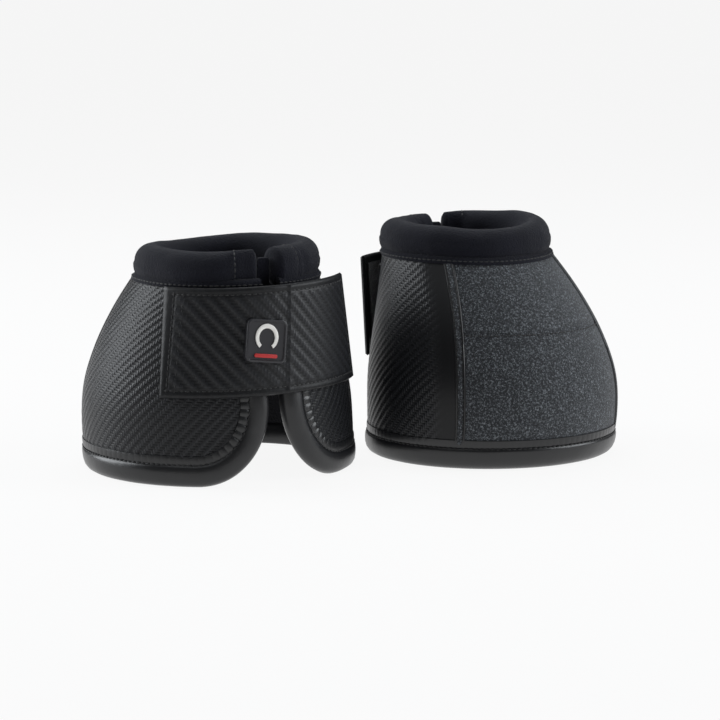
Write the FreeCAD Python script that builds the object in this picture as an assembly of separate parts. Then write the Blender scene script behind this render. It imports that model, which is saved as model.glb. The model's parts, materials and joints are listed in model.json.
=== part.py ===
"""Pair of wrap-round over-reach boots (bell boots) for a horse, standing side by side on their hems.

Each boot is a soft bell that wraps round the pastern and covers the hoof.  It is built in layers: a
moulded outer skin, a foam core and a lining, with a rolled collar on top, a bound hem, and a strap
that closes the front.  The wing that carries the strap swings open on a living hinge at the heel seam.

Units are millimetres and degrees.  A boot's own frame has its origin at the middle of the hem on the
floor, +Z up, the closure towards -Y and the heel towards +Y.  Azimuths count from the closure (-Y),
positive towards +X, which is the side of the fixed wing.  The pair's frame has +X along the pair.
"""
import FreeCAD
import Part
import math
import os

V = FreeCAD.Vector

# --- the bell -------------------------------------------------------------------------------------
HEM_RADIUS = 79.0          # widest radius of the bell, just above the hem
COLLAR_RADIUS = 52.0       # outer radius of the bell where the collar sits
FLARE = (0.935, 1.0, 0.957, 0.735, 0.405, 0.0)   # share of the flare, hem to collar, evenly spaced
LEAN_POWER = 2.4           # the bell leans more the higher it gets
BELLY = 6.0                # how far the middle of the bell is pushed back towards the heel
PANEL = 1.6                # outer skin
CORE = 4.0                 # foam core
LINING = 1.4               # inner lining
SEAM_MIDDLE = 187.5        # azimuth of the heel panel's middle
SEAM_HALF = 50.5           # half of the angle that the heel panel spans
SEAM_GAP = 0.5             # clearance between the swinging wing and the shell at the seam, degrees
SEAM_CLEAR = 1.0           # room between the hinge line and the pieces that swing

# --- closure, hem binding -------------------------------------------------------------------------
GAP = 8.0                  # width of the front closure gap
CORNER_WIDTH = 44.0        # how far each wing's lower front corner is rounded away, sideways
CORNER_HEIGHT = 50.0       # and upwards
BINDING = 13.0             # height of the rolled binding round the hem and the front edges
BINDING_PROUD = 1.5        # how far the binding stands out of the skin
BINDING_INSIDE = 0.6       # how far it stands into the boot past the lining
STRIP = 6.0                # width of the raised seam strip along the binding
STRIP_PROUD = 1.0
BINDING_TOP_GAP = 8.0      # the binding stops this far below the top of the bell

# --- collar ---------------------------------------------------------------------------------------
ROLL = 9.8                 # radius of the collar roll
ROLL_SKIN = 1.5            # neoprene cover of the roll
ROLL_SEAT = 8.5            # height of the roll's centre over the top of the bell
ROLL_INSET = 8.5           # how far inside the bell's outer skin the roll's centre lies
COLLAR_GAP = 10.0          # gap between the roll's ends at the closure
END_CAP = 16.0             # length of the sewn cap on each end of the roll
BAND = 3.0                 # height of the band that joins the roll to the bell
BAND_PROUD = 1.5

# --- heel panel, pad, patch and tongue ------------------------------------------------------------
WELT = 5.0                 # width of the welt along each heel seam, degrees
WELT_PROUD = 0.9
PAD_HALF = 16.0            # half of the angle that the anti-turn pad spans
PAD_HEIGHT = 34.0
PAD_DROP = 20.0            # the pad's top is this far below the top of the bell
PAD_THICK = 8.0
PATCH_START = 20.0         # loop patch: distance of its edges from the closure line, along X
PATCH_END = 60.0
PATCH_HEIGHT = 50.0
PATCH_THICK = 0.8
TONGUE_THICK = 2.6
TONGUE_CLEAR = 0.6         # between the tongue and the swinging wing
TONGUE_LAP = 9.0           # how far the tongue reaches behind the swinging wing
TONGUE_SEWN = 14.0         # how far it is sewn down behind the fixed wing
TONGUE_RISE = 12.0         # how far it stands up in the collar's gap

# --- strap ----------------------------------------------------------------------------------------
STRAP_WIDTH = 63.0
STRAP_TOP_GAP = 4.0        # the strap's upper edge is this far below the top of the bell
STRAP_ROOT = (-50.0, -65.0)    # azimuths of the sewn end, at the lower and the upper edge
STRAP_END = (48.0, 58.0)       # azimuths of the free end, at the lower and the upper edge
STRAP_GAIN = 0.8           # below 1 the upper edge runs ahead of the lower one, so the badge is upright
ANCHOR = 8.0               # length of the strap that is sewn down
STRAP_CLEAR = 0.6          # free room between the strap and what it lies over
STRAP_BOW = 1.5            # room for the bell's curve under the strap's straight back
STRAP_STAND_OFF = 8.0     # how far the free end's upper corner stands off
STRAP_FACE = 1.6
HOOK_TAPE = 0.8
HOOK_MARGIN = 5.0          # the hook tape stays this far inside the strap's edges
HOOK_START = 0.55          # shares of the strap's length between which the hook tape lies
HOOK_END = 0.95
BADGE = 25.0
BADGE_THICK = 2.2
BADGE_AT = 0.42            # share of the strap's length where the badge sits
BADGE_CORNER = 3.5
EMBLEM_RADIUS = 7.5
EMBLEM_BAR = 2.6
EMBLEM_THICK = 0.6

# --- how the two boots stand ----------------------------------------------------------------------
BOOTS = {
    "boot1": {"at": (-77.7, -35.5), "turn": 30.0, "height": 119.0, "lean": (-1.7, -13.5),
              "spread": (3.4, -1.0), "collar": 1.5, "rise": 3.0},
    "boot2": {"at": (86.5, 15.5), "turn": 205.0, "height": 125.0, "lean": (10.7, -13.25),
              "spread": (-1.7, -6.0), "collar": -1.0, "rise": -2.0},
}

WALL = PANEL + CORE + LINING
STRAP_THICK = STRAP_FACE + HOOK_TAPE
FAR = 3.0 * HEM_RADIUS     # larger than any piece
BELOW = 20.0               # how far the cutting tools reach under the floor
RING_POINTS = 24           # points that a closed section passes through
SECTION_SHARES = [i / 10.0 for i in range(11)]


# --- shape of the bell ----------------------------------------------------------------------------
def flare(share):
    """Share of the flare at a height, from 0 at the hem to 1 at the top: a smooth curve through FLARE."""
    spans = len(FLARE) - 1
    place = min(max(share, 0.0), 1.0) * spans
    i = min(int(place), spans - 1)
    s = place - i
    before = FLARE[i - 1] if i > 0 else 2.0 * FLARE[0] - FLARE[1]
    after = FLARE[i + 2] if i + 2 <= spans else 2.0 * FLARE[spans] - FLARE[spans - 1]
    a, b = FLARE[i], FLARE[i + 1]
    return 0.5 * (2.0 * a + (b - before) * s + (2.0 * before - 5.0 * a + 4.0 * b - after) * s * s
                  + (3.0 * a - before - 3.0 * b + after) * s ** 3)


def section(boot, z):
    """Centre (x, y) and half widths (along X, along Y) of the bell's outer skin at height z."""
    share = min(max(z / boot["height"], 0.0), 1.0)
    radius = COLLAR_RADIUS + (HEM_RADIUS - COLLAR_RADIUS) * flare(share)
    lean = share ** LEAN_POWER
    x = boot["lean"][0] * lean
    y = boot["lean"][1] * lean + BELLY * 4.0 * share * (1.0 - share)
    half = [radius + boot["spread"][k] * (1.0 - share) + boot["collar"] * share for k in (0, 1)]
    return (x, y), half


def skin_point(boot, azimuth, z, lift=0.0):
    """The point at that azimuth and height, lift outside the bell's outer skin."""
    (x, y), half = section(boot, z)
    a = math.radians(azimuth)
    return V(x + (half[0] + lift) * math.sin(a), y - (half[1] + lift) * math.cos(a), z)


def ring(boot, z, at, lift):
    """Closed section of the bell at height z, laid at height at."""
    points = []
    for i in range(RING_POINTS):
        p = skin_point(boot, i * 360.0 / RING_POINTS, z, lift)
        points.append(V(p.x, p.y, at))
    curve = Part.BSplineCurve()
    curve.interpolate(Points=points, PeriodicFlag=True)
    return Part.Wire([curve.toShape()])


def rings(boot, lift):
    """Sections of the bell's surface, moved out by lift, from under the floor to over the top."""
    height = boot["height"]
    wires = [ring(boot, 0.0, -BELOW, lift)]
    wires += [ring(boot, share * height, share * height, lift) for share in SECTION_SHARES]
    wires.append(ring(boot, height, height + BELOW, lift))
    return wires


def bell(boot, lift):
    """Solid inside the bell's surface, moved out by lift."""
    return Part.makeLoft(rings(boot, lift), True, False)


def wall(boot, outer, inner):
    """Solid between the bell's surface moved out by outer and the one moved out by inner."""
    outside, inside = rings(boot, outer), rings(boot, inner)
    faces = Part.makeLoft(outside, False, False).Faces + Part.makeLoft(inside, False, False).Faces
    for end in (0, -1):
        faces.append(Part.makeFace([outside[end], inside[end]], "Part::FaceMakerBullseye"))
    skin = Part.makeShell(faces)
    skin.sewShape()
    return Part.Solid(skin)


def slab(low, high):
    return Part.makeBox(2 * FAR, 2 * FAR, high - low, V(-FAR, -FAR, low))


def leaning(boot, z):
    """Middle line of the bell, taken as straight, which the seams run round."""
    share = z / boot["height"]
    return V(boot["lean"][0] * share, boot["lean"][1] * share, z)


def wedge(boot, first, last):
    """Everything between two azimuths round the leaning middle line."""
    low = leaning(boot, -BELOW)
    steps = 4
    points = [low]
    for i in range(steps + 1):
        a = math.radians(first + (last - first) * i / steps)
        points.append(low + V(math.sin(a), -math.cos(a), 0) * FAR)
    face = Part.Face(Part.makePolygon(points + [low]))
    return face.extrude(leaning(boot, boot["height"] + 4 * BELOW) - low)


def front_opening(boot, grow, top):
    """The closure gap and the rounded corners under it, as a block through the front, grown by grow."""
    height = boot["height"]
    lean = boot["lean"][0] / height
    half = GAP / 2 + grow
    out = GAP / 2 + CORNER_WIDTH
    corner = V(half + lean * CORNER_HEIGHT, 0, CORNER_HEIGHT)
    foot = V(out, 0, grow)
    turn = math.sqrt(0.5)
    middle = V(out - (out - half) * turn + lean * CORNER_HEIGHT * turn, 0,
               CORNER_HEIGHT - (CORNER_HEIGHT - grow) * turn)
    other = [V(-half + lean * CORNER_HEIGHT, 0, CORNER_HEIGHT),
             V(-out + (out - half) * turn + lean * CORNER_HEIGHT * turn, 0, middle.z), V(-out, 0, grow)]
    edges = [
        Part.makeLine(V(half + lean * top, 0, top), corner) if top > CORNER_HEIGHT else None,
        Part.Arc(corner, middle, foot).toShape(),
        Part.makeLine(foot, V(out, 0, -BELOW)),
        Part.makeLine(V(out, 0, -BELOW), V(-out, 0, -BELOW)),
        Part.makeLine(V(-out, 0, -BELOW), other[2]),
        Part.Arc(other[2], other[1], other[0]).toShape(),
        Part.makeLine(other[0], V(-half + lean * top, 0, top)),
        Part.makeLine(V(-half + lean * top, 0, top), V(half + lean * top, 0, top)),
    ]
    face = Part.Face(Part.Wire([e for e in edges if e is not None]))
    face.translate(V(0, boot["lean"][1], 0))
    return face.extrude(V(0, -FAR, 0))


def roll(boot, radius):
    """Ring-shaped tube of the collar."""
    centre = leaning(boot, boot["height"])
    centre.z += ROLL_SEAT
    return Part.makeTorus(roll_ring(boot), radius, centre, V(0, 0, 1))


def roll_ring(boot):
    return COLLAR_RADIUS + boot["collar"] - ROLL_INSET


def collar_slot(boot, width):
    """Block through the front of the collar, width wide."""
    middle = leaning(boot, boot["height"])
    low = boot["height"] - BELOW
    return Part.makeBox(width, FAR, 3 * BELOW, V(middle.x - width / 2, middle.y - FAR, low))


# --- the two sides of a boot ----------------------------------------------------------------------
def split(shape, boot):
    """The fixed side and the swinging wing of a ring-shaped piece, cut at the seam and the closure."""
    first = SEAM_MIDDLE + SEAM_HALF
    fixed = shape.cut(wedge(boot, first - 360.0, 0.0))
    wing = shape.common(wedge(boot, first + SEAM_GAP - 360.0, 0.0))
    return fixed, wing


def solids(shape, least=1.0):
    """The shape's solids, without slivers under least cubic millimetres."""
    kept = [s for s in shape.Solids if s.Volume > least]
    return kept[0] if len(kept) == 1 else Part.makeCompound(kept)


def layers(boot):
    """Skin, core and lining of the whole bell, open at the closure and above the binding."""
    height = boot["height"]
    room = slab(BINDING, height).cut(front_opening(boot, BINDING, height - BINDING_TOP_GAP))
    room = room.cut(front_opening(boot, 0.0, height + BELOW)).cut(roll(boot, ROLL))
    depths = (0.0, PANEL, PANEL + CORE, WALL)
    made = [wall(boot, -depths[i], -depths[i + 1]).common(room) for i in range(3)]
    return dict(zip(("skin", "core", "lining"), made))


def binding(boot):
    """Rolled binding round the hem and up both front edges."""
    top = boot["height"] - BINDING_TOP_GAP
    edge = slab(0.0, BINDING).fuse(front_opening(boot, BINDING, top).common(slab(0.0, top)))
    edge = edge.cut(front_opening(boot, 0.0, boot["height"] + BELOW))
    return wall(boot, BINDING_PROUD, -WALL - BINDING_INSIDE).common(edge)


def seam_strip(boot):
    """Raised strip of turned skin along the binding."""
    top = boot["height"] - BINDING_TOP_GAP
    wide = front_opening(boot, BINDING + STRIP, top)
    edge = slab(BINDING, BINDING + STRIP).fuse(wide.common(slab(BINDING, top)))
    return wall(boot, STRIP_PROUD, 0.0).common(edge.cut(front_opening(boot, BINDING, top)))


def collar_band(boot):
    """Band round the top of the bell that the roll is sewn to."""
    height = boot["height"]
    band = wall(boot, BAND_PROUD, 0.0).common(slab(height - BAND, height))
    return band.cut(front_opening(boot, 0.0, height + BELOW)).cut(roll(boot, ROLL))


def collar_pieces(boot):
    """Cover, end caps and foam of the roll, each as a whole ring."""
    tube = roll(boot, ROLL).cut(collar_slot(boot, COLLAR_GAP))
    ends = tube.common(collar_slot(boot, COLLAR_GAP + 2 * END_CAP))
    core = roll(boot, ROLL - ROLL_SKIN).cut(collar_slot(boot, COLLAR_GAP + 2 * ROLL_SKIN))
    cover = tube.cut(ends).cut(core)
    return cover, ends.cut(core), core


def tongue(boot):
    """Flap behind the closure, sewn to the fixed wing, which stands up in the collar's gap."""
    height = boot["height"]
    middle = leaning(boot, height)
    inner = WALL + BINDING_INSIDE
    back = inner + TONGUE_CLEAR + TONGUE_THICK
    low = CORNER_HEIGHT + BINDING
    lap = wall(boot, -inner - TONGUE_CLEAR, -back)
    sewn = wall(boot, -inner, -back)
    tall = height - low - BAND
    free_part = Part.makeBox(TONGUE_LAP + 1, FAR, tall, V(middle.x - TONGUE_LAP, middle.y - FAR, low))
    sewn_part = Part.makeBox(TONGUE_SEWN, FAR, tall, V(middle.x + 1, middle.y - FAR, low))
    body = lap.common(free_part).fuse(sewn.common(sewn_part))
    reach = COLLAR_GAP - TONGUE_CLEAR
    stand = Part.makeBox(reach, FAR, BAND + TONGUE_RISE,
                         V(middle.x + COLLAR_GAP / 2 - reach, middle.y - FAR, height - BAND))
    half = GAP - TONGUE_CLEAR
    neck = Part.makeBox(half, FAR, BAND, V(middle.x + GAP / 2 - half, middle.y - FAR, height - BAND))
    upper = lap.common(stand.common(slab(height, height + TONGUE_RISE)).fuse(neck))
    return body.fuse(upper).removeSplitter()


# --- strap ----------------------------------------------------------------------------------------
def strap_heights(boot):
    top = boot["height"] - STRAP_TOP_GAP
    return top - STRAP_WIDTH, top


def anchor_share(boot):
    """Share of the strap's length that is sewn down."""
    low = strap_heights(boot)[0]
    radius = section(boot, low)[1][0]
    return ANCHOR / (math.radians(STRAP_END[0] - STRAP_ROOT[0]) * radius)


def strap_lifts(share):
    """How far the strap's back lies outside the skin at its lower and its upper edge."""
    rise = min(share / 0.3, 1.0)
    lift = STRAP_BOW + STRAP_CLEAR * (1 - rise) + (BINDING_PROUD + STRAP_CLEAR) * rise
    off = STRAP_STAND_OFF * max(0.0, (share - 0.5) / 0.5) ** 1.4
    return lift, lift + off


def strap_points(boot, share, depth, margin=0.0):
    """Lower and upper point of the strap at a share of its length, depth outside its back."""
    low, high = strap_heights(boot)
    lifts = strap_lifts(share)
    shares = (share, share ** STRAP_GAIN)
    ends = [STRAP_ROOT[k] + (STRAP_END[k] - STRAP_ROOT[k]) * shares[k] for k in (0, 1)]
    climb = boot["rise"] * share
    bottom = skin_point(boot, ends[0], low + climb, lifts[0])
    top = skin_point(boot, ends[1], high + climb, lifts[1])
    along = (top - bottom).normalize()
    a = math.radians((ends[0] + ends[1]) / 2)
    out = V(math.sin(a), -math.cos(a), 0)
    out = (out - along * out.dot(along)).normalize() * depth
    return bottom + along * margin + out, top - along * margin + out


def strap_block(boot, first, last, inner, outer, margin=0.0):
    """Piece of the strap between two shares of its length and two depths."""
    count = max(2, int(round((last - first) * 10)) + 1)
    wires = []
    for i in range(count):
        share = first + (last - first) * i / (count - 1)
        a, b = strap_points(boot, share, inner, margin)
        c, d = strap_points(boot, share, outer, margin)
        wires.append(Part.makePolygon([a, b, d, c, a]))
    return Part.makeLoft(wires, True, False)


def badge_frame(boot):
    """Middle of the badge on the strap's face, with its sideways, up and outward directions."""
    low, high = strap_points(boot, BADGE_AT, STRAP_THICK)
    ahead = strap_points(boot, BADGE_AT + 0.02, STRAP_THICK)
    middle = (low + high) * 0.5
    up = (high - low).normalize()
    side = ((ahead[0] + ahead[1]) * 0.5 - middle).normalize()
    out = side.cross(up).normalize()
    side = up.cross(out)
    return middle, side, up, out


def badge_pieces(boot):
    """Moulded badge, and the horseshoe over a bar that stands on it."""
    middle, side, up, out = badge_frame(boot)
    half = BADGE / 2
    sink = STRAP_THICK + 1.0
    block = Part.makeBox(BADGE, BADGE, sink + BADGE_THICK, V(-half, -half, -sink))
    upright = [e for e in block.Edges if abs(e.Vertexes[0].Z - e.Vertexes[1].Z) > 1.0]
    block = block.makeFillet(BADGE_CORNER, upright)
    shoe = Part.makeCylinder(EMBLEM_RADIUS, EMBLEM_THICK, V(0, 1.5, BADGE_THICK))
    shoe = shoe.cut(Part.makeCylinder(EMBLEM_RADIUS - EMBLEM_BAR, EMBLEM_THICK, V(0, 1.5, BADGE_THICK)))
    mouth = 2 * (EMBLEM_RADIUS - EMBLEM_BAR)
    shoe = shoe.cut(Part.makeBox(mouth, BADGE, EMBLEM_THICK, V(-mouth / 2, 1.5 - BADGE, BADGE_THICK)))
    bar = Part.makeBox(2 * EMBLEM_RADIUS, 2.0, EMBLEM_THICK, V(-EMBLEM_RADIUS, -9.5, BADGE_THICK))
    place = FreeCAD.Placement(FreeCAD.Matrix(side.x, up.x, out.x, middle.x, side.y, up.y, out.y, middle.y,
                                             side.z, up.z, out.z, middle.z, 0, 0, 0, 1))
    badge, emblem = block, Part.makeCompound([shoe, bar])
    badge.Placement = place
    emblem.Placement = place
    return badge, emblem


# --- joints ---------------------------------------------------------------------------------------
def wing_axis(boot):
    """Two points of the swinging wing's hinge line, low and high, in the boot's own frame.

    The line lies in the heel seam's plane, just outside everything there, so that the pieces part."""
    azimuth = SEAM_MIDDLE + SEAM_HALF
    a = math.radians(azimuth)
    out = V(math.sin(a), -math.cos(a), 0)
    height = boot["height"]

    def reach(z):
        return (skin_point(boot, azimuth, z, BINDING_PROUD) - leaning(boot, z)).dot(out)

    top = height + ROLL_SEAT
    low, high = reach(0.25 * height), roll_ring(boot) + ROLL
    short = 0.0
    for i in range(21):
        z = height * i / 20.0
        line = low + (high - low) * (z - 0.25 * height) / (top - 0.25 * height)
        short = max(short, reach(z) - line)
    shift = short + SEAM_CLEAR
    return (leaning(boot, 0.25 * height) + out * (low + shift), leaning(boot, top) + out * (high + shift))


def strap_axis(boot):
    """Two points of the strap's hinge line, low and high, on its face where the sewn end stops."""
    return strap_points(boot, anchor_share(boot), STRAP_THICK)


def placed(boot, thing):
    """A shape or a point of the boot's own frame, in the pair's frame."""
    turn = FreeCAD.Placement(V(boot["at"][0], boot["at"][1], 0), FreeCAD.Rotation(V(0, 0, 1), boot["turn"]))
    if isinstance(thing, V):
        return turn.multVec(thing)
    moved = thing.copy()
    moved.Placement = turn.multiply(moved.Placement)
    return moved


# --- assembly -------------------------------------------------------------------------------------
def make_boot(boot):
    """Every piece of one boot, by name, in the boot's own frame."""
    height = boot["height"]
    made = {}
    layer = layers(boot)
    heel = wedge(boot, SEAM_MIDDLE - SEAM_HALF, SEAM_MIDDLE + SEAM_HALF)
    skin, made["wing_panel"] = split(layer["skin"], boot)
    made["heel_panel"] = skin.common(heel)
    made["side_panel"] = skin.cut(heel)
    made["foam_core"], made["wing_foam_core"] = split(layer["core"], boot)
    made["lining"], made["wing_lining"] = split(layer["lining"], boot)
    made["hem_binding"], made["wing_hem_binding"] = split(binding(boot), boot)
    made["seam_strip"], made["wing_seam_strip"] = split(seam_strip(boot), boot)
    made["collar_band"], made["wing_collar_band"] = split(collar_band(boot), boot)
    cover, caps, foam = collar_pieces(boot)
    made["collar_cover"], made["wing_collar_cover"] = split(cover, boot)
    made["collar_end_cap"], made["wing_collar_end_cap"] = split(caps, boot)
    made["collar_foam"], made["wing_collar_foam"] = split(foam, boot)

    ends = [SEAM_MIDDLE - SEAM_HALF, SEAM_MIDDLE + SEAM_HALF]
    welts = wedge(boot, ends[0], ends[0] + WELT).fuse(wedge(boot, ends[1] - WELT, ends[1]))
    raised = wall(boot, WELT_PROUD, 0.0).common(slab(BINDING + STRIP, height - BAND))
    made["seam_welts"] = raised.common(welts)

    pad = wall(boot, -WALL, -WALL - PAD_THICK)
    pad = pad.common(wedge(boot, SEAM_MIDDLE - PAD_HALF, SEAM_MIDDLE + PAD_HALF))
    made["anti_turn_pad"] = pad.common(slab(height - PAD_DROP - PAD_HEIGHT, height - PAD_DROP))

    low, high = strap_heights(boot)
    middle = leaning(boot, (low + high) / 2)
    patch = wall(boot, PATCH_THICK, 0.0)
    block = Part.makeBox(PATCH_END - PATCH_START, FAR, PATCH_HEIGHT,
                         V(middle.x + PATCH_START, middle.y - FAR, middle.z - PATCH_HEIGHT / 2))
    lap = front_opening(boot, BINDING + STRIP, height - BINDING_TOP_GAP)
    made["loop_patch"] = patch.common(block).cut(lap)
    made["tongue"] = tongue(boot)

    root = anchor_share(boot)
    made["strap_anchor"] = strap_block(boot, 0.0, root, -STRAP_BOW - 2.0, STRAP_THICK).cut(bell(boot, 0.0))
    face = strap_block(boot, root, 1.0, HOOK_TAPE, STRAP_THICK)
    made["strap_face"] = face
    made["strap_hook_tape"] = strap_block(boot, HOOK_START, HOOK_END, 0.0, HOOK_TAPE, HOOK_MARGIN).cut(face)
    badge, emblem = badge_pieces(boot)
    behind = strap_block(boot, root, 1.0, -STRAP_THICK - 4.0, STRAP_THICK)
    made["badge"] = badge.cut(behind)
    made["badge_emblem"] = emblem
    return {name: solids(shape) for name, shape in made.items()}


def make_pair():
    """Every piece of both boots, by name, and the shift that puts the pair's middle over the origin."""
    made = {}
    for name, boot in BOOTS.items():
        for piece, shape in make_boot(boot).items():
            made[name + "_" + piece] = placed(boot, shape)
    box = Part.makeCompound(list(made.values())).optimalBoundingBox()
    return made, V(-box.Center.x, -box.Center.y, 0)


def main():
    os.makedirs("parts", exist_ok=True)
    made, shift = make_pair()
    for name, shape in made.items():
        shape.translate(shift)
        shape.exportStep("parts/%s.step" % name)
        print("%-28s %2d solids %10.1f mm3 valid=%s" % (
            name, len(shape.Solids), shape.Volume, shape.isValid()))


if __name__ == "__main__":
    main()
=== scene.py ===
"""Pair of wrap-round over-reach boots for a horse, drawn over the packed frame.

Each boot is a soft bell: walls of skin, foam and lining, a rolled hem binding with a puckered seam strip
above it, a neoprene collar roll, and a wide strap with a moulded badge.  Sizes are metres and degrees.
A boot's own frame has its origin at the middle of the hem, the closure towards -Y, and azimuths that count
from the closure, positive towards +X.
"""
import bmesh
import bpy
import json
import math
from bpy.props import FloatProperty, FloatVectorProperty, IntProperty, PointerProperty
from mathutils import Matrix, Vector, noise


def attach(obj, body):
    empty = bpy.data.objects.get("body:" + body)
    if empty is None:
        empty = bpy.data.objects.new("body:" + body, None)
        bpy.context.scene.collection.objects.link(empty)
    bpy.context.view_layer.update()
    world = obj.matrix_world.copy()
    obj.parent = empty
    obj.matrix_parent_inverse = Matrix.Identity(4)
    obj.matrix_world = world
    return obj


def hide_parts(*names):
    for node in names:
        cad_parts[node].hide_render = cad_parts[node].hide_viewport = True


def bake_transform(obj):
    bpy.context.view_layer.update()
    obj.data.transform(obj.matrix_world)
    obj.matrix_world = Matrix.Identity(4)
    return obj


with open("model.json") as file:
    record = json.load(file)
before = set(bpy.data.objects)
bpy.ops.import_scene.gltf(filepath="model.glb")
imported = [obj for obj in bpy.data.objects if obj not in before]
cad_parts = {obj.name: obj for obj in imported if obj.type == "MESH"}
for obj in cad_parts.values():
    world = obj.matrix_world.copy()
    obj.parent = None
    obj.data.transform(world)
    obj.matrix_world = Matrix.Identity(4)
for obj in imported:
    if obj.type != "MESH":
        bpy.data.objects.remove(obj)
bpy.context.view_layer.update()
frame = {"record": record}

bl_info = {
    "name": "Over-reach boots",
    "version": (1, 0, 0),
    "blender": (4, 5, 0),
    "location": "3D View > Sidebar > Boots",
    "description": "Builds a pair of wrap-round over-reach boots over their packed frame",
    "category": "Object",
}

# --- sizes shared with the packed solids, then the ones only drawn here ----------------------------
HEM_RADIUS = 0.079
COLLAR_RADIUS = 0.052
FLARE = (0.935, 1.0, 0.957, 0.735, 0.405, 0.0)      # share of the flare from hem to collar, evenly spaced
LEAN_POWER = 2.4
BELLY = 0.006
WALL = 0.007
GAP = 0.008
CORNER_WIDTH = 0.044
CORNER_HEIGHT = 0.050
SEAM_FIRST = 137.0         # azimuths of the two heel seams; the wing swings at the last
SEAM_LAST = 238.0
BINDING = 0.013
STRIP = 0.006
EDGE_TOP = 0.008           # the binding stops this far below the top of the bell
BAND = 0.003
ROLL = 0.0098
ROLL_INSET = 0.0085
COLLAR_GAP = 0.010
END_CAP = 0.016
STRAP_WIDTH = 0.063
STRAP_TOP_GAP = 0.004
STRAP_ROOT = (-50.0, -65.0)
STRAP_END = (48.0, 58.0)
STRAP_GAIN = 0.8
STRAP_SEWN = 0.06          # share of the strap's length that is sewn down
BADGE_AT = 0.42
HEEL_ROW = 0.645           # share of the height where a row of stitches crosses the heel
HEEL_GROOVE = (0.0006, 0.0011)       # depth and half width of the groove under that row
WALL_FOOT = 0.004          # the walls start this high, inside the hem binding
SMOOTH_BESIDE_SEAM = (0.007, 0.016)  # distance from a heel seam over which the weave rises from smooth skin
WELT_ROWS = (0.23, 0.77)   # shares of a welt's width where its stitches run
BAND_SAG = 0.4             # share of the roll's dips that its band follows
STRAP_LAID = (0.0015, 0.0006, 0.0021)   # strap's height over the skin, and what its root and the rest add
STRAP_SEAM = 0.0042        # distance of the strap's stitches from its edge
TAPE_ALONG, TAPE_ACROSS = (0.55, 0.95), (0.082, 0.918)   # shares of the strap that the hook tape covers
PATCH_ALONG, PATCH_HALF = (0.024, 0.052), 0.025          # loop patch: from the closure line, and half height
TONGUE_RISE = 0.012        # how far the tongue stands up in the collar's gap
TONGUE_LAP = 0.009         # how far it reaches behind the wing
TONGUE_SEWN = 0.014        # how far it is sewn down behind the fixed side
PAD_HALF = 16.0            # half of the heel pad's width, in degrees
PAD_TOP = 0.020            # the pad starts this far below the top of the bell
PAD_HEIGHT = 0.034
PAD_DEPTH = 0.0076
FLOOR_HALF = 16.0
EYE, TARGET, VIEW_WIDTH = (0.00445, -1.69357, 0.315), (0.00445, 0.00643, 0.059), 0.440
LIGHT_TARGET = (0, 0, 0.06)
LIGHTS = (                 # name, place, side in metres, power in watts
    ("key", (-0.7, -1.1, 1.9), 0.8, 3.0),
    ("left_side", (-1.5, 0.25, 0.65), 1.1, 24.0),
    ("right_side", (1.6, -0.1, 0.8), 1.1, 22.0),
    ("top", (0.0, 0.6, 1.6), 1.2, 14.0),
)

SHAPES = {
    "boot1": {"turn": 30.0, "height": 0.119, "lean": (-0.0017, -0.0135), "spread": (0.0034, -0.001),
              "collar": 0.0015, "rise": 0.003,
              "dips": ((-55.0, 50.0, 0.0022), (195.0, 45.0, 0.0036), (80.0, 40.0, -0.0008))},
    "boot2": {"turn": 205.0, "height": 0.125, "lean": (0.0107, -0.01325), "spread": (-0.0017, -0.006),
              "collar": -0.001, "rise": -0.002,
              "dips": ((180.0, 50.0, 0.0028), (275.0, 45.0, -0.0022), (30.0, 30.0, 0.001))},
}


def mount_place(name):
    return Vector(next(m["pos_m"] for m in frame["record"]["mounts"] if m["name"] == name))


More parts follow.
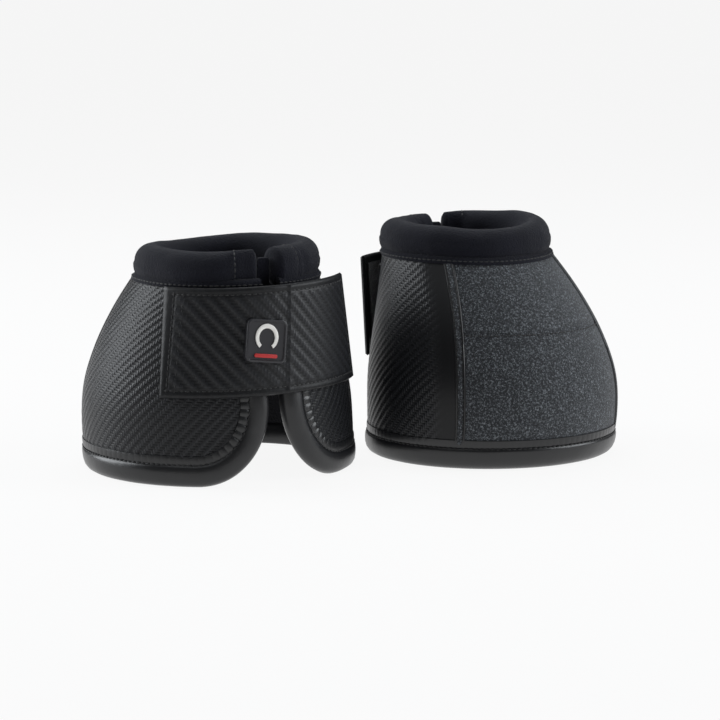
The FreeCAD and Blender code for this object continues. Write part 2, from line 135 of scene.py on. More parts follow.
class Boot:
    """One boot's shape: turns azimuths and heights into points of the pair's frame."""

    def __init__(self, name):
        shape = SHAPES[name]
        self.name = name
        self.height = shape["height"]
        self.lean = shape["lean"]
        self.spread = shape["spread"]
        self.collar = shape["collar"]
        self.rise = shape["rise"]
        self.dips = shape["dips"]
        self.place = Matrix.Translation(mount_place(name + "_hoof"))
        self.place = self.place @ Matrix.Rotation(math.radians(shape["turn"]), 4, "Z")
        self.roll_middle = self.place.inverted() @ mount_place(name + "_pastern")
        self.ring = COLLAR_RADIUS + self.collar - ROLL_INSET
        self.gap = math.degrees(math.asin(COLLAR_GAP / 2 / self.ring))

    def flare(self, share):
        spans = len(FLARE) - 1
        spot = min(max(share, 0.0), 1.0) * spans
        i = min(int(spot), spans - 1)
        s = spot - i
        before = FLARE[i - 1] if i > 0 else 2.0 * FLARE[0] - FLARE[1]
        after = FLARE[i + 2] if i + 2 <= spans else 2.0 * FLARE[spans] - FLARE[spans - 1]
        a, b = FLARE[i], FLARE[i + 1]
        return 0.5 * (2.0 * a + (b - before) * s + (2.0 * before - 5.0 * a + 4.0 * b - after) * s * s
                      + (3.0 * a - before - 3.0 * b + after) * s ** 3)

    def section(self, z):
        """Centre and half widths of the bell's skin at a height."""
        share = min(max(z / self.height, 0.0), 1.0)
        radius = COLLAR_RADIUS + (HEM_RADIUS - COLLAR_RADIUS) * self.flare(share)
        lean = share ** LEAN_POWER
        x = self.lean[0] * lean
        y = self.lean[1] * lean + BELLY * 4.0 * share * (1.0 - share)
        half = [radius + self.spread[k] * (1.0 - share) + self.collar * share for k in (0, 1)]
        return x, y, half[0], half[1]

    def point(self, azimuth, z, lift=0.0):
        """The point at that azimuth and height, lift outside the skin, in the pair's frame."""
        x, y, wide, deep = self.section(z)
        a = math.radians(azimuth)
        return self.place @ Vector((x + (wide + lift) * math.sin(a), y - (deep + lift) * math.cos(a), z))

    def azimuth_at(self, x, z):
        """Azimuth of the front skin at the distance x from the closure line."""
        middle, _, wide, _ = self.section(z)
        return math.degrees(math.asin(min(max((x - middle) / wide, -1.0), 1.0)))

    def sag(self, azimuth, share=1.0):
        """How far the collar dips at an azimuth, or a share of that."""
        return sum(depth * share * math.exp(-(turned(azimuth - middle) / width) ** 2)
                   for middle, width, depth in self.dips)

    def roll_point(self, azimuth, out, up):
        """A point of the collar's ring, out from its centre line and up, in the pair's frame."""
        a = math.radians(azimuth)
        spread = self.ring + out
        up -= self.sag(azimuth)
        return self.place @ (self.roll_middle + Vector((spread * math.sin(a), -spread * math.cos(a), up)))

    def edge(self, side, inset, spacing):
        """Azimuth and height along a wing's edge, from its top down the closure and round the hem.

        side is 1 for the fixed side and -1 for the swinging wing; inset moves the line into the wing."""
        half = GAP / 2 + inset
        out = GAP / 2 + CORNER_WIDTH
        slant = self.lean[0] / self.height
        top = self.height - EDGE_TOP
        spots = []
        count = int((top - CORNER_HEIGHT) / spacing)
        for i in range(count):
            z = top + (CORNER_HEIGHT - top) * i / count
            spots.append((self.azimuth_at(side * half + slant * z, z), z))
        count = int(1.5 * CORNER_WIDTH / spacing)
        for i in range(count):
            t = math.pi / 2 * i / count
            x = out - (out - half) * math.cos(t)
            z = CORNER_HEIGHT - (CORNER_HEIGHT - inset) * math.sin(t)
            spots.append((self.azimuth_at(side * x + slant * z, z), z))
        first = self.azimuth_at(side * out + slant * inset, inset)
        last = SEAM_LAST if side > 0 else SEAM_LAST - 360.0
        count = int(math.radians(abs(last - first)) * HEM_RADIUS / spacing)
        spots += [(first + (last - first) * i / count, inset) for i in range(count + 1)]
        return spots

    def front(self, side, z, inset):
        """Azimuth of a wing's front edge at a height, inset into the wing."""
        half = GAP / 2 + inset
        out = GAP / 2 + CORNER_WIDTH
        x = half
        if z < CORNER_HEIGHT:
            drop = min((CORNER_HEIGHT - z) / max(CORNER_HEIGHT - inset, 1e-6), 1.0)
            x = out - (out - half) * math.sqrt(max(1.0 - drop * drop, 0.0))
        return self.azimuth_at(side * x + self.lean[0] * z / self.height, z)

    def strap(self, share, depth, across):
        """A point of the strap: share of its length, depth outside its back, across from 0 low to 1 high."""
        high = self.height - STRAP_TOP_GAP
        low = high - STRAP_WIDTH
        rise = min(share / 0.3, 1.0)
        lift = STRAP_LAID[0] + STRAP_LAID[1] * (1 - rise) + STRAP_LAID[2] * rise
        off = bpy.context.scene.boots_strap.stand_off * max(0.0, (share - 0.5) / 0.5) ** 1.4
        spots = (share, share ** STRAP_GAIN)
        ends = [STRAP_ROOT[k] + (STRAP_END[k] - STRAP_ROOT[k]) * spots[k] for k in (0, 1)]
        climb = self.rise * share
        bottom = self.point(ends[0], low + climb, lift)
        top = self.point(ends[1], high + climb, lift + off)
        along = (top - bottom).normalized()
        a = math.radians((ends[0] + ends[1]) / 2)
        out = self.place.to_3x3() @ Vector((math.sin(a), -math.cos(a), 0))
        out = (out - along * out.dot(along)).normalized()
        return bottom.lerp(top, across) + out * depth

    def strap_length(self):
        return sum((self.strap((i + 1) / 40, 0, 0.5) - self.strap(i / 40, 0, 0.5)).length for i in range(40))

    def seam_bend(self):
        """Start and end of the bend between the shell and the swinging wing."""
        a = math.radians(SEAM_LAST)
        radial = Vector((math.sin(a), -math.cos(a), 0))
        lean = Vector((self.lean[0], self.lean[1], self.height))
        ahead = radial.cross(lean).normalized()
        if ahead.dot(Vector((math.cos(a), math.sin(a), 0))) < 0:
            ahead = -ahead
        ahead = self.place.to_3x3() @ ahead
        start = self.point(SEAM_LAST, self.height * 0.5) + ahead * 0.001
        return start, start + ahead * 0.024

    def strap_bend(self):
        """Start and end of the bend between the swinging wing and the strap."""
        start = self.strap(STRAP_SEWN, 0.0024, 0.5)
        ahead = (self.strap(STRAP_SEWN + 0.05, 0.0024, 0.5) - start).normalized()
        return start, start + ahead * 0.022


def turned(angle):
    """The angle brought between -180 and 180 degrees."""
    return (angle + 180.0) % 360.0 - 180.0


def spaced(first, last, count):
    return [first + (last - first) * i / (count - 1) for i in range(count)]


def smooth(low, high, value):
    """0 below low, 1 above high, and an even ramp between."""
    t = min(max((value - low) / (high - low), 0.0), 1.0)
    return t * t * (3.0 - 2.0 * t)


# --- meshes ---------------------------------------------------------------------------------------
def new_object(name, points, faces, materials, uvs=None, slots=None, sharp=40.0, relief=None):
    """A mesh object with its place in its mesh, outward faces and, if given, a UV map in metres."""
    mesh = bpy.data.meshes.new(name)
    mesh.from_pydata([tuple(p) for p in points], [], faces)
    for material in materials:
        mesh.materials.append(material)
    if slots is not None:
        mesh.polygons.foreach_set("material_index", slots)
    if uvs is not None:
        layer = mesh.uv_layers.new(name="UVMap")
        for loop in mesh.loops:
            layer.data[loop.index].uv = uvs[loop.vertex_index]
    if relief is not None:
        mesh.attributes.new("relief", "FLOAT", "POINT").data.foreach_set("value", relief)
    edit = bmesh.new()
    edit.from_mesh(mesh)
    bmesh.ops.recalc_face_normals(edit, faces=edit.faces)
    edit.to_mesh(mesh)
    edit.free()
    mesh.polygons.foreach_set("use_smooth", [True] * len(mesh.polygons))
    mesh.set_sharp_from_angle(angle=math.radians(sharp))
    thing = bpy.data.objects.new(name, mesh)
    bpy.context.collection.objects.link(thing)
    return thing


def slab_object(name, outer, inner, materials, uvs=None, relief=None, sharp=40.0):
    """Closed sheet between two equal grids of points; materials are outer, inner and rim."""
    rows, columns = len(outer), len(outer[0])
    size = rows * columns
    points = [p for row in outer for p in row] + [p for row in inner for p in row]
    faces, slots = [], []
    for r in range(rows - 1):
        for c in range(columns - 1):
            a = r * columns + c
            quad = (a, a + 1, a + columns + 1, a + columns)
            faces.append(quad)
            slots.append(0)
            faces.append(tuple(i + size for i in reversed(quad)))
            slots.append(1)
    rim = list(range(columns)) + [r * columns + columns - 1 for r in range(1, rows)]
    rim += [(rows - 1) * columns + c for c in range(columns - 2, -1, -1)]
    rim += [r * columns for r in range(rows - 2, 0, -1)]
    for i, a in enumerate(rim):
        b = rim[(i + 1) % len(rim)]
        faces.append((b, a, a + size, b + size))
        slots.append(2)
    if uvs is not None:
        flat = [uv for row in uvs for uv in row]
        uvs = flat + flat
    if relief is not None:
        flat = [v for row in relief for v in row]
        relief = flat + [0.0] * size
    return new_object(name, points, faces, materials, uvs, slots, sharp, relief)


def tube_object(name, rings, materials, sharp=60.0):
    """Closed sweep through equal rings of points, with a fan over each end."""
    count = len(rings[0])
    points = [p for ring in rings for p in ring]
    faces = []
    for r in range(len(rings) - 1):
        for c in range(count):
            d = (c + 1) % count
            faces.append((r * count + c, r * count + d, (r + 1) * count + d, (r + 1) * count + c))
    for r in (0, len(rings) - 1):
        middle = sum(rings[r], Vector()) / count
        points.append(middle)
        faces += [(r * count + c, r * count + (c + 1) % count, len(points) - 1) for c in range(count)]
    return new_object(name, points, faces, materials, sharp=sharp)


def settle(piece, boot, side, nodes):
    """Puts a shell or strap piece on its body, bakes the place of a wing or strap-bend piece into its mesh, and
    hides the nodes it stands for.
    """
    shell, wing, strap = (boot.name + end for end in ("_shell", "_wing", "_strap"))
    if side == "wing":
        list(boot.seam_bend())
        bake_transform(piece)
    elif side == "strap bend":
        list(boot.strap_bend())
        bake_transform(piece)
    else:
        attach(piece, {"shell": shell, "strap": strap}[side])
    if nodes:
        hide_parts(*[boot.name + "_" + node for node in nodes])


# --- finishes -------------------------------------------------------------------------------------
class Paint:
    """A procedural material being built, with short ways to add and join its nodes."""

    def __init__(self, name, colour, roughness, specular=0.5, sheen=0.0):
        self.material = bpy.data.materials.new(name)
        self.material.use_nodes = True
        self.tree = self.material.node_tree
        self.surface = self.tree.nodes["Principled BSDF"]
        self.surface.inputs["Base Color"].default_value = (*colour, 1.0)
        self.surface.inputs["Roughness"].default_value = roughness
        self.surface.inputs["Specular IOR Level"].default_value = specular
        self.surface.inputs["Sheen Weight"].default_value = sheen
        self.surface.inputs["Sheen Roughness"].default_value = 0.5

    def join(self, value, socket):
        if isinstance(value, (int, float)):
            socket.default_value = value
        elif isinstance(value, tuple):
            socket.default_value = value if len(value) == len(socket.default_value) else (*value, 1.0)
        else:
            self.tree.links.new(value, socket)

    def node(self, kind, inputs=(), **settings):
        made = self.tree.nodes.new("ShaderNode" + kind)
        for key, value in settings.items():
            setattr(made, key, value)
        for key, value in dict(inputs).items():
            self.join(value, made.inputs[key])
        return made

    def math(self, operation, *values):
        made = self.node("Math", operation=operation)
        for i, value in enumerate(values):
            self.join(value, made.inputs[i])
        return made.outputs[0]

    def mix(self, share, low, high):
        made = self.node("Mix", data_type="RGBA")
        self.join(share, made.inputs[0])
        self.join(low, made.inputs[6])
        self.join(high, made.inputs[7])
        return made.outputs[2]

    def blend(self, share, low, high):
        """Mix of two numbers."""
        made = self.node("Mix", data_type="FLOAT")
        self.join(share, made.inputs[0])
        self.join(low, made.inputs[2])
        self.join(high, made.inputs[3])
        return made.outputs[0]

    def noise(self, coordinates, scale, detail=2.0, roughness=0.5):
        made = self.node("TexNoise", {"Vector": coordinates, "Scale": scale, "Detail": detail,
                                      "Roughness": roughness})
        return made.outputs["Fac"]

    def object_place(self):
        return self.node("TexCoord").outputs["Object"]

    def uv(self):
        return self.node("UVMap", uv_map="UVMap").outputs[0]

    def relief(self):
        return self.node("Attribute", attribute_name="relief").outputs["Fac"]

    def bump(self, height, distance, strength=1.0, under=None):
        made = self.node("Bump", {"Height": height, "Distance": distance, "Strength": strength})
        if under is not None:
            self.tree.links.new(under, made.inputs["Normal"])
        return made.outputs[0]

    def set(self, **values):
        for key, value in values.items():
            self.join(value, self.surface.inputs[key.replace("_", " ").title()])
        return self.material


# colour is the valley colour, carrying painted shade in the weave's hollows; light is the ridge colour, carrying
# a painted highlight on the raised tows
def woven_skin(name, colour, light, cell, falling, roughness):
    """Embossed skin that looks like a two-by-two twill of flat tows, cell wide."""
    paint = Paint(name, colour, roughness, specular=0.27)
    spot = paint.node("SeparateXYZ", {"Vector": paint.uv()})
    u = paint.math("DIVIDE", spot.outputs[0], cell)
    v = paint.math("DIVIDE", spot.outputs[1], cell)
    turn = paint.math("ADD" if falling else "SUBTRACT", paint.math("FLOOR", u), paint.math("FLOOR", v))
    over = paint.math("LESS_THAN", paint.math("FLOORED_MODULO", turn, 4.0), 1.5)
    across_u = paint.math("SINE", paint.math("MULTIPLY", paint.math("FRACT", u), math.pi))
    across_v = paint.math("SINE", paint.math("MULTIPLY", paint.math("FRACT", v), math.pi))
    tow = paint.blend(over, paint.math("POWER", across_v, 0.5), paint.math("POWER", across_u, 0.5))
    depth = paint.math("ADD", paint.math("MULTIPLY", over, 0.76), paint.math("MULTIPLY", tow, 0.24))
    depth = paint.math("MULTIPLY", depth, paint.relief())
    place = paint.object_place()
    grain = paint.noise(place, 900.0, 3.0)
    cloud = paint.noise(place, 28.0, 3.0)
    # painted shade and painted highlight: the tone runs from the dark valley colour in the hollows to the lighter
    # ridge colour on the raised tows, varied a little by a cloud noise
    shade = paint.math("MULTIPLY", depth, paint.blend(cloud, 0.55, 1.0))
    tone = paint.mix(shade, colour, light)
    first = paint.bump(grain, 0.00008, 0.5)
    rough = paint.blend(paint.math("MULTIPLY", over, paint.relief()), roughness + 0.1, roughness)
    return paint.set(base_color=tone, roughness=rough,
                     normal=paint.bump(depth, 0.0004 if falling else 0.0008, 1.0, first))


def plain_skin(name, colour, roughness):
    """Smooth moulded skin with a fine grain, cloudy shine and light wear."""
    paint = Paint(name, colour, roughness, specular=0.5)
    place = paint.object_place()
    pores = paint.node("TexVoronoi", {"Vector": place, "Scale": 1400.0}).outputs["Distance"]
    cloud = paint.noise(place, 35.0, 4.0)
    tone = paint.mix(paint.noise(place, 90.0, 4.0), colour, tuple(c * 1.45 for c in colour))
    rough = paint.blend(cloud, roughness - 0.07, roughness + 0.1)
    swell = paint.bump(paint.noise(place, 120.0, 2.0), 0.0004, 0.5)
    return paint.set(base_color=tone, roughness=rough, normal=paint.bump(pores, 0.00006, 0.5, swell))


def speckled_cloth(name, colour, light, thread):
    """Coarse ballistic cloth: pale and dark specks over a plain weave."""
    paint = Paint(name, colour, 0.75, specular=0.3, sheen=0.15)
    place = paint.object_place()
    coarse = paint.noise(place, 0.55 / thread, 2.0, 0.75)
    fine = paint.noise(place, 1.3 / thread, 2.0, 0.7)
    specks = paint.math("ADD", paint.math("MULTIPLY", coarse, 0.6), paint.math("MULTIPLY", fine, 0.4))
    ramp = paint.node("ValToRGB", {"Fac": specks})
    stops = ramp.color_ramp.elements
    stops[0].position, stops[0].color = 0.40, (*[c * 0.45 for c in colour], 1.0)
    stops[1].position, stops[1].color = 0.66, (*light, 1.0)
    middle = stops.new(0.51)
    middle.color = (*colour, 1.0)
    tint = paint.noise(place, 0.4 / thread, 1.0)
    tone = paint.mix(paint.math("MULTIPLY", tint, 0.3), ramp.outputs["Color"],
                     (colour[0] * 1.1, colour[1] * 1.4, colour[2] * 1.7))
    return paint.set(base_color=tone, normal=paint.bump(specks, 0.0006, 0.9))


def knit_cloth(name, colour, scale, rough=0.9, sheen=0.06):
    """Fine knit over foam: tiny loops with a soft bloom."""
    paint = Paint(name, colour, rough, specular=0.2, sheen=sheen)
    place = paint.object_place()
    loops = paint.node("TexVoronoi", {"Vector": place, "Scale": scale}).outputs["Distance"]
    cloud = paint.noise(place, 45.0, 3.0)
    tone = paint.mix(cloud, tuple(c * 0.75 for c in colour), tuple(c * 1.35 for c in colour))
    soft = paint.bump(paint.noise(place, 150.0, 2.0), 0.0004, 0.4)
    return paint.set(base_color=tone, normal=paint.bump(loops, 0.0005, 0.8, soft))


def looped_pile(name, colour, scale):
    """Hook or loop tape: a dense pile."""
    paint = Paint(name, colour, 0.95, specular=0.15, sheen=0.4)
    place = paint.object_place()
    pile = paint.noise(place, scale, 4.0, 0.8)
    tone = paint.mix(pile, tuple(c * 0.4 for c in colour), tuple(c * 1.8 for c in colour))
    return paint.set(base_color=tone, normal=paint.bump(pile, 0.0008, 1.0))


def moulded_rubber(name, colour, roughness):
    paint = Paint(name, colour, roughness, specular=0.25)
    place = paint.object_place()
    tone = paint.mix(paint.noise(place, 160.0, 3.0), colour, tuple(min(c * 1.25, 1.0) for c in colour))
    return paint.set(base_color=tone, normal=paint.bump(paint.noise(place, 1600.0, 2.0), 0.00005, 0.5))


def sewing_thread(name, colour):
    paint = Paint(name, colour, 0.55, specular=0.4, sheen=0.2)
    place = paint.object_place()
    twist = paint.noise(place, 2500.0, 1.0)
    return paint.set(base_color=paint.mix(twist, tuple(c * 0.6 for c in colour), tuple(c * 1.4 for c in colour)))


def finish(name):
    return bpy.data.materials[name]


# --- sizes and colours that a user would change -----------------------------------------------------
def metres(name, description, default):
    return FloatProperty(name=name, description=description, default=default, min=0.0, precision=5,
                         unit="LENGTH", subtype="DISTANCE")


def colour(name, description, default):
    return FloatVectorProperty(name=name, description=description, default=default, size=3, min=0.0, max=1.0,
                               subtype="COLOR")


class BellSizes(bpy.types.PropertyGroup):
    """Sizes of the walls, the hem binding and the seam strip"""
    tow: metres("Tow width", "Width of one tow of the embossed weave", 0.0015)
    wale: metres("Wale height", "How far the diagonal wales stand up", 0.0003)
    grid: metres("Mesh spacing", "Distance between the walls' mesh points", 0.0011)
    binding_swell: metres("Binding swell", "How far the hem binding bulges out of the skin", 0.0021)
    strip_swell: metres("Strip swell", "How far the puckered seam strip stands up", 0.0012)
    pucker: metres("Pucker length", "Distance between the strip's puckers", 0.0044)
    welt: metres("Welt width", "Width of the welt beside each heel seam", 0.0064)


class CollarSizes(bpy.types.PropertyGroup):
    """Sizes of the padded collar roll and its band"""
    swell: metres("Roll unevenness", "How much the padding's thickness varies", 0.0007)
    flatten: FloatProperty(name="End thickness", description="Share of the roll's depth left at its sewn ends",
                           default=0.5, min=0.2, max=1.0, subtype="FACTOR")
    spacing: metres("Mesh spacing", "Distance between the roll's mesh rings", 0.0016)


class StrapSizes(bpy.types.PropertyGroup):
    """Sizes of the closing strap and its badge"""
    thickness: metres("Thickness", "Thickness of the strap with its edges turned in", 0.0026)
    tow: metres("Tow width", "Width of one tow of the strap's embossed weave", 0.0019)
    stand_off: metres("Stand-off", "How far the free end's upper corner stands off", 0.008)
    badge: metres("Badge side", "Side of the square badge", 0.025)
    badge_rise: metres("Badge height", "How far the badge stands out of the strap", 0.0022)


class StitchSizes(bpy.types.PropertyGroup):
    """Sizes of the sewing"""
    pitch: metres("Pitch", "Distance from one stitch to the next", 0.0032)
    length: metres("Stitch length", "Length of one stitch", 0.0026)
    thread: metres("Thread radius", "Radius of the thread", 0.00038)
    seed: IntProperty(name="Seed", description="Seed of the stitches' small differences", default=7)


class Finishes(bpy.types.PropertyGroup):
    """Colours of the finishes"""
    # the skin's valley and ridge colours are one dark skin, painted darker in the weave's hollows as painted
    # shade and lighter on its ridges as a painted highlight
    skin: colour("Skin", "Valleys of the embossed skin", (0.0055, 0.0058, 0.0068))
    skin_ridge_highlight: colour("Skin ridges", "Ridges of the embossed skin", (0.019, 0.020, 0.023))
    binding: colour("Binding", "Smooth binding", (0.0075, 0.0078, 0.0088))
    cloth: colour("Heel cloth", "Ground of the speckled heel cloth", (0.017, 0.0185, 0.0215))
    cloth_light: colour("Heel specks", "Pale specks of the heel cloth", (0.25, 0.275, 0.30))
    collar: colour("Collar", "Neoprene of the collar", (0.0046, 0.0051, 0.0098))
    lining: colour("Lining", "Cloth inside the bell", (0.007, 0.007, 0.009))
    thread: colour("Thread", "Sewing thread", (0.006, 0.0063, 0.0072))


# --- operators ------------------------------------------------------------------------------------
def boots():
    return [Boot(name) for name in SHAPES]


class BOOTS_OT_finishes(bpy.types.Operator):
    """Make every finish"""
    bl_idname = "boots.finishes"
    bl_label = "Finishes"

    def execute(self, context):
        tints = context.scene.boots_finishes
        bell, strap = context.scene.boots_bell, context.scene.boots_strap
        # both embossed skins get painted shade in their hollows and a painted highlight on their ridges
        woven_skin("woven_shell_skin", tuple(tints.skin), tuple(tints.skin_ridge_highlight), bell.tow, False, 0.30)
        woven_skin("woven_strap_skin", tuple(tints.skin), tuple(tints.skin_ridge_highlight), strap.tow, True, 0.36)
        plain_skin("binding_skin", tuple(tints.binding), 0.31)
        speckled_cloth("heel_cloth", tuple(tints.cloth), tuple(tints.cloth_light), 0.00062)
        knit_cloth("collar_neoprene", tuple(tints.collar), 1150.0)
        knit_cloth("lining_knit", tuple(tints.lining), 900.0)
        looped_pile("hook_tape_pile", (0.02, 0.02, 0.022), 1500.0)
        looped_pile("loop_patch_pile", (0.03, 0.03, 0.033), 900.0)
        moulded_rubber("badge_rubber", (0.0022, 0.0022, 0.0026), 0.5)
        moulded_rubber("emblem_rubber_pale", (0.72, 0.71, 0.68), 0.45)
        moulded_rubber("emblem_rubber_red", (0.42, 0.035, 0.035), 0.45)
        sewing_thread("sewing_thread", tuple(tints.thread))
        return {"FINISHED"}


def wall_piece(name, boot, first, last, side, woven, low, high):
    """Part of the bell's wall between two azimuths; a front edge replaces one of them when side isn't 0."""
    sizes = bpy.context.scene.boots_bell
    columns = int(math.radians(abs(last - first)) * HEM_RADIUS / sizes.grid)
    rows = int((high - low) / sizes.grid)
    outer, inner, uvs, relief = [], [], [], []
    middle = (first + last) / 2
    run = 0.0
    for r in range(rows + 1):
        z = low + (high - low) * r / rows
        start, end = first, last
        if side > 0:
            start = boot.front(1, z, BINDING * 0.6)
        elif side < 0:
            end = boot.front(-1, z, BINDING * 0.6) + 360.0
        _, _, wide, deep = boot.section(z)
        if r:
            step = boot.point(middle, z) - boot.point(middle, low + (high - low) * (r - 1) / rows)
            run += step.length
        line = [[], [], [], []]
        for c in range(columns + 1):
            azimuth = start + (end - start) * c / columns
            along = math.radians(azimuth - middle) * (wide + deep) / 2
            seam = min(abs(azimuth - SEAM_FIRST), abs(azimuth - SEAM_LAST)) * math.radians(1.0) * wide
            share = smooth(*SMOOTH_BESIDE_SEAM, seam) if woven else 0.0
            phase = ((along - run) / sizes.tow + 0.5) * math.pi / 2
            rise = sizes.wale * share * (0.5 + 0.5 * math.sin(phase))
            if not woven:
                rise -= HEEL_GROOVE[0] * math.exp(-((z - HEEL_ROW * boot.height) / HEEL_GROOVE[1]) ** 2)
            line[0].append(boot.point(azimuth, z, rise))
            line[1].append(boot.point(azimuth, z, -WALL))
            line[2].append((along, run))
            line[3].append(share)
        for grid, part in zip((outer, inner, uvs, relief), line):
            grid.append(part)
    skin = finish("woven_shell_skin" if woven else "heel_cloth")
    lining = finish("lining_knit")
    piece = slab_object(name, outer, inner, (skin, lining, finish("binding_skin")), uvs, relief)
    return piece


class BOOTS_OT_side_walls(bpy.types.Operator):
    """Build the embossed walls of the fixed side and of the swinging wing"""
    bl_idname = "boots.side_walls"
    bl_label = "Embossed walls"

    def execute(self, context):
        for boot in boots():
            top = boot.height
            fixed = wall_piece(boot.name + "_side_wall", boot, 0.0, SEAM_FIRST, 1, True, WALL_FOOT, top)
            settle(fixed, boot, "shell", ("side_panel", "foam_core", "lining"))
            wing = wall_piece(boot.name + "_wing_wall", boot, SEAM_LAST, 360.0, -1, True, WALL_FOOT, top)
            settle(wing, boot, "wing", ("wing_panel", "wing_foam_core", "wing_lining"))
        return {"FINISHED"}


# outline of a welt: share of its width and height over the skin; its two piped edges are smooth skin
WELT_OUTLINE = ((0.0, -0.0004), (0.03, 0.0006), (0.10, 0.0010), (0.18, 0.0008), (0.23, 0.0001), (0.29, 0.0008),
                (0.5, 0.0011), (0.71, 0.0008), (0.77, 0.0001), (0.82, 0.0008), (0.90, 0.0010), (0.97, 0.0006),
                (1.0, -0.0004), (1.0, -0.001), (0.0, -0.001))


class BOOTS_OT_heel_walls(bpy.types.Operator):
    """Build the speckled heel walls with the welts along their seams"""
    bl_idname = "boots.heel_walls"
    bl_label = "Heel walls"

    def execute(self, context):
        for boot in boots():
            heel = wall_piece(boot.name + "_heel_wall", boot, SEAM_FIRST, SEAM_LAST, 0, False, WALL_FOOT,
                              boot.height)
            settle(heel, boot, "shell", ("heel_panel",))
            for label, seam, way in (("first", SEAM_FIRST, 1.0), ("last", SEAM_LAST, -1.0)):
                welt = self.welt(boot, context.scene.boots_bell, label, seam, way)
                nodes = ("seam_welts",) if label == "first" else ()
                settle(welt, boot, "shell", nodes)
        return {"FINISHED"}

    def welt(self, boot, sizes, label, seam, way):
        rings = []
        low, high = BINDING + STRIP * 0.5, boot.height - BAND * 0.6
        for i in range(90):
            z = low + (high - low) * i / 89
            wide = math.degrees(sizes.welt / boot.section(z)[2])
            rings.append([boot.point(seam + way * wide * share, z, lift) for share, lift in WELT_OUTLINE])
        piece = tube_object("%s_%s_welt" % (boot.name, label), rings,
                            (finish("heel_cloth"), finish("binding_skin")))
        for face in range(len(WELT_OUTLINE) * (len(rings) - 1)):
            piece.data.polygons[face].material_index = 0 if 3 < face % len(WELT_OUTLINE) < 8 else 1
        return piece


# outline of the binding: distance in from the edge, and height over the skin as a share of the swell
BINDING_OUTLINE = ((0.0136, 0.10, 0), (0.0130, 0.55, 0), (0.0115, 0.88, 0), (0.0090, 1.0, 0), (0.0062, 0.95, 0),
                   (0.0038, 0.70, 0), (0.0019, 0.15, 0), (0.0007, -0.2, -0.0012), (0.0, -0.2, -0.0036),
                   (0.0006, -0.2, -0.0058), (0.0020, 0.0, -0.0074), (0.0048, 0.0, -0.0083),
                   (0.0085, 0.0, -0.0084), (0.0130, 0.0, -0.0074), (0.0132, 0.0, -0.0036))


class BOOTS_OT_bindings(bpy.types.Operator):
    """Sweep the rolled binding and the puckered seam strip round the hem and up the front edges"""
    bl_idname = "boots.bindings"
    bl_label = "Hem bindings"

    def execute(self, context):
        sizes = context.scene.boots_bell
        for boot in boots():
            for side, body, prefix in ((1, "shell", ""), (-1, "wing", "wing_")):
                piece = self.binding(boot, sizes, side, prefix)
                settle(piece, boot, body, (prefix + "hem_binding",))
                strip = self.strip(boot, sizes, side, prefix)
                settle(strip, boot, body, (prefix + "seam_strip",))
        return {"FINISHED"}

    def binding(self, boot, sizes, side, prefix):
        lines = [boot.edge(side, inset, 0.0024) for inset, _, _ in BINDING_OUTLINE]
        count = min(len(line) for line in lines)
        lines = [self.evened(line, count) for line in lines]
        rings = []
        for i in range(count):
            ring = []
            for line, (inset, share, depth) in zip(lines, BINDING_OUTLINE):
                azimuth, z = line[i]
                lump = noise.noise(boot.point(azimuth, z) * 55.0) * 0.00035
                ring.append(boot.point(azimuth, z, share * sizes.binding_swell + depth + lump * max(share, 0)))
            rings.append(ring)
        return tube_object("%s_%shem_roll" % (boot.name, prefix), rings, (finish("binding_skin"),), sharp=70.0)

    def evened(self, line, count):
        """The line brought to count spots, evenly spread over the ones it has."""
        spots = []
        for i in range(count):
            spot = i * (len(line) - 1) / (count - 1)
            a = min(int(spot), len(line) - 2)
            t = spot - a
            spots.append(tuple(line[a][k] + (line[a + 1][k] - line[a][k]) * t for k in (0, 1)))
        return spots

    def strip(self, boot, sizes, side, prefix):
        shares = (0.0, 0.06, 0.25, 0.5, 0.75, 0.94, 1.0)
        lines = [boot.edge(side, BINDING + 0.0002 + (STRIP - 0.0004) * s, 0.0005) for s in shares]
        count = max(len(line) for line in lines)
        lines = [self.evened(line, count) for line in lines]
        crown = (0.0, 0.75, 0.97, 1.0, 0.97, 0.75, 0.0)
        rings, run = [], 0.0
        for i in range(count):
            here = boot.point(*lines[3][i])
            run += (here - boot.point(*lines[3][max(i - 1, 0)])).length
            upright = smooth(0.010, 0.030, lines[3][i][1])
            pucker = abs(math.sin(math.pi * run / sizes.pucker)) ** 0.35
            depth = 0.10 + 0.70 * upright
            swell = sizes.strip_swell * (0.65 + 0.35 * upright) * (1.0 - depth + depth * pucker)
            ring = [boot.point(*lines[k][i], crown[k] * swell) for k in range(len(shares))]
            ring += [boot.point(*lines[k][i], -0.0008) for k in (-1, 0)]
            rings.append(ring)
        return tube_object("%s_%spuckered_strip" % (boot.name, prefix), rings, (finish("binding_skin"),),
                           sharp=50.0)


